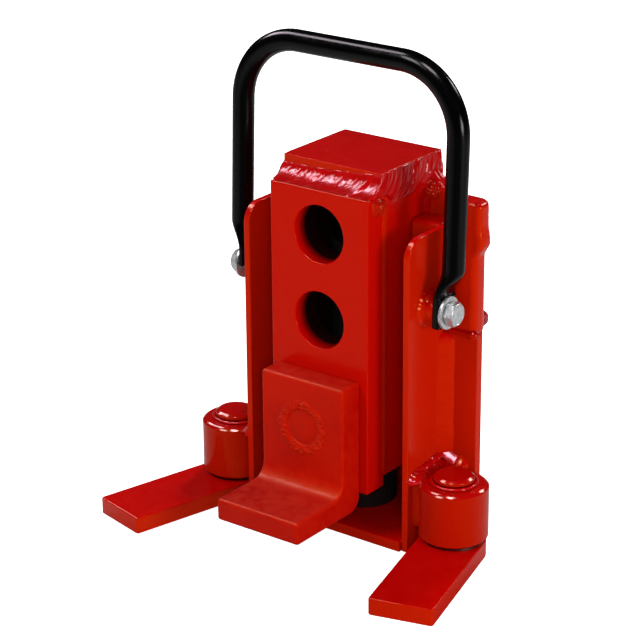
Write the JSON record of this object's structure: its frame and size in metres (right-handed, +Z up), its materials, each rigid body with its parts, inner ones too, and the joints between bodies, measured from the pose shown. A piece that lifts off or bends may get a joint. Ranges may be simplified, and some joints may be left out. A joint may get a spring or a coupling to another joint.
{
  "type": "toe jack",
  "caption": "Hydraulic toe jack: a lifting block with pin holes and a removable toe slides in an upright frame with swivel feet and a carry handle.",
  "frame": {"origin": "on the ground plane at the underside of the base plate, straight under the axis of the lifting ram", "axes": "+Z up, the way the block lifts; -Y to the front, the way the toe and the feet point; +X to the right of a person who faces the front"},
  "size_m": [0.351, 0.2737, 0.4265],
  "materials": {
    "red_enamel": "gloss enamel over welded steel",
    "black_enamel": "gloss black",
    "black_steel": "black paint",
    "black_plastic": "moulded",
    "zinc": "bright zinc plate",
    "hard_chrome": "ground and chromed",
    "dark_steel": "oiled, machined",
    "seal_rubber": "moulded"
  },
  "bodies": {
    "frame": {"base_plate": "red_enamel", "side_plate_left": "red_enamel", "side_plate_right": "red_enamel", "back_plate": "red_enamel", "guide_rail_left": "red_enamel", "guide_rail_right": "red_enamel", "wing_left": "red_enamel", "wing_right": "red_enamel", "rear_post": "red_enamel", "hub_left": "red_enamel", "hub_right": "red_enamel", "handle_boss_left": "red_enamel", "handle_boss_right": "red_enamel", "handle_bolt_left": "zinc", "handle_bolt_right": "zinc", "handle_washer_left": "zinc", "handle_washer_right": "zinc", "cylinder_body": "black_steel", "gland_nut": "dark_steel", "rod_wiper": "seal_rubber", "oil_tank": "red_enamel", "filler_cap": "black_plastic", "pump_barrel": "red_enamel", "pump_nut": "dark_steel", "fulcrum_ear_left": "red_enamel", "fulcrum_ear_right": "red_enamel", "fulcrum_pin": "zinc"},
    "lift": {"front_plate": "red_enamel", "lift_tube": "red_enamel", "cap_block": "red_enamel", "cap_weld": "red_enamel", "key_front_left": "red_enamel", "key_front_right": "red_enamel", "guide_bar_left": "red_enamel", "guide_bar_right": "red_enamel", "ram": "hard_chrome"},
    "toe_assembly": {"toe": "red_enamel", "toe_hook_pin": "red_enamel"},
    "left_foot": {"foot_left": "red_enamel", "foot_pin_left": "red_enamel", "foot_collar_left": "red_enamel", "foot_spacer_left": "dark_steel"},
    "right_foot": {"foot_right": "red_enamel", "foot_pin_right": "red_enamel", "foot_collar_right": "red_enamel", "foot_spacer_right": "dark_steel"},
    "carry_handle": {"handle": "black_enamel"},
    "lever": {"lever_socket": "red_enamel"},
    "pump_plunger": {"plunger": "hard_chrome"},
    "valve": {"release_valve": "zinc"}
  },
  "joints": [
    {"name": "lift_slide", "type": "slide", "parent": "frame", "child": "lift", "axis": [0, 0, 1], "range_m": [0, 0.078]},
    {"name": "toe_slide", "type": "slide", "parent": "lift", "child": "toe_assembly", "axis": [0, -1, 0], "range_m": [0, 0.036]},
    {"name": "foot_left_hinge", "type": "hinge", "parent": "frame", "child": "left_foot", "pos_m": [-0.1171, -0.0338, 0], "axis": [0, 0, 1], "range_deg": [-160, 14]},
    {"name": "foot_right_hinge", "type": "hinge", "parent": "frame", "child": "right_foot", "pos_m": [0.1171, -0.0338, 0], "axis": [0, 0, 1], "range_deg": [-14, 160]},
    {"name": "handle_hinge", "type": "hinge", "parent": "frame", "child": "carry_handle", "pos_m": [0, -0.0293, 0.2142], "axis": [1, 0, 0], "range_deg": [-6, 92]},
    {"name": "lever_hinge", "type": "hinge", "parent": "frame", "child": "lever", "pos_m": [0, 0.0674, 0.2138], "axis": [1, 0, 0], "range_deg": [-75, 0]},
    {"name": "plunger_slide", "type": "slide", "parent": "frame", "child": "pump_plunger", "axis": [0, 0, 1], "range_m": [-0.02, 0]},
    {"name": "valve_hinge", "type": "hinge", "parent": "frame", "child": "valve", "pos_m": [-0.026, 0.0974, 0.05], "axis": [0, 1, 0], "range_deg": [0, 180]}
  ],
  "couplings": [
    {"joint": "plunger_slide", "follows": "lever_hinge", "m_per_rad": 0.015008}
  ]
}
